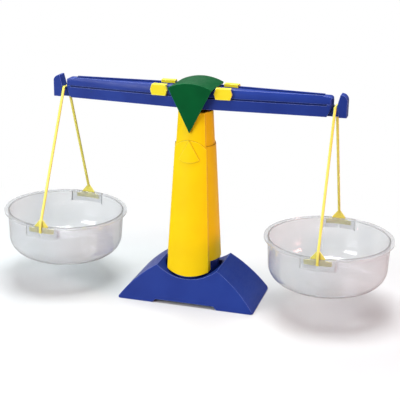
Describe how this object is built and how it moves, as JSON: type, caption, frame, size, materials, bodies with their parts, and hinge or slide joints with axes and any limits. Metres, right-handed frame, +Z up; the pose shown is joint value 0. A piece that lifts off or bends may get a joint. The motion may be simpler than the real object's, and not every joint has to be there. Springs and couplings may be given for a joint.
{
  "type": "pan balance",
  "caption": "Classroom pan balance: tapered column on a saddle base, grooved beam with pointer cap and trimming riders, clear pans on slim hangers.",
  "frame": {"origin": "middle of the base's underside, on the floor, under the pivot", "axes": "+X along the beam to the right pan, +Y from the front pointer to the back one, +Z up"},
  "size_m": [0.4457, 0.1412, 0.2463],
  "materials": {
    "blue_plastic": "satin moulded, blue",
    "yellow_plastic": "satin moulded, deep yellow",
    "bright_yellow_plastic": "gloss moulded, bright yellow",
    "pale_yellow_plastic": "satin moulded, slightly translucent yellow",
    "green_plastic": "satin moulded, dark green",
    "clear_plastic": "clear, faintly frosted, thin moulded wall",
    "steel": "bright drawn or turned"
  },
  "bodies": {
    "stand": {"base": "blue_plastic", "column": "yellow_plastic", "column_screws": "steel", "pivot_carrier": "yellow_plastic", "bearing_front": "steel", "bearing_back": "steel"},
    "beam": {"beam": "blue_plastic", "pivot_pin": "steel", "pointer_cap": "green_plastic", "cap_screws": "steel"},
    "rider_front_left": {"rider_front_left": "bright_yellow_plastic"},
    "rider_front_right": {"rider_front_right": "bright_yellow_plastic"},
    "rider_back_left": {"rider_back_left": "bright_yellow_plastic"},
    "rider_back_right": {"rider_back_right": "bright_yellow_plastic"},
    "hanger_left": {"hanger_left": "pale_yellow_plastic", "pan_left": "clear_plastic"},
    "hanger_right": {"hanger_right": "pale_yellow_plastic", "pan_right": "clear_plastic"}
  },
  "joints": [
    {"name": "beam_tilt", "type": "hinge", "parent": "stand", "child": "beam", "pos_m": [0, 0, 0.2325], "axis": [0, 1, 0], "range_deg": [-8, 8]},
    {"name": "rider_front_left_slide", "type": "slide", "parent": "beam", "child": "rider_front_left", "axis": [-0.9978, 0.0668, 0], "range_m": [-0.0045, 0.09]},
    {"name": "rider_front_right_slide", "type": "slide", "parent": "beam", "child": "rider_front_right", "axis": [0.9978, 0.0668, 0], "range_m": [-0.0018, 0.09]},
    {"name": "rider_back_left_slide", "type": "slide", "parent": "beam", "child": "rider_back_left", "axis": [-0.9978, -0.0668, 0], "range_m": [-0.0028, 0.09]},
    {"name": "rider_back_right_slide", "type": "slide", "parent": "beam", "child": "rider_back_right", "axis": [0.9978, -0.0668, 0], "range_m": [-0.0038, 0.09]},
    {"name": "hanger_left_swing", "type": "hinge", "parent": "beam", "child": "hanger_left", "pos_m": [-0.1506, 0, 0.2284], "axis": [0, 1, 0], "range_deg": [-10.8, 15.2]},
    {"name": "hanger_right_swing", "type": "hinge", "parent": "beam", "child": "hanger_right", "pos_m": [0.1506, 0, 0.2284], "axis": [0, 1, 0], "range_deg": [-17, 9]}
  ]
}
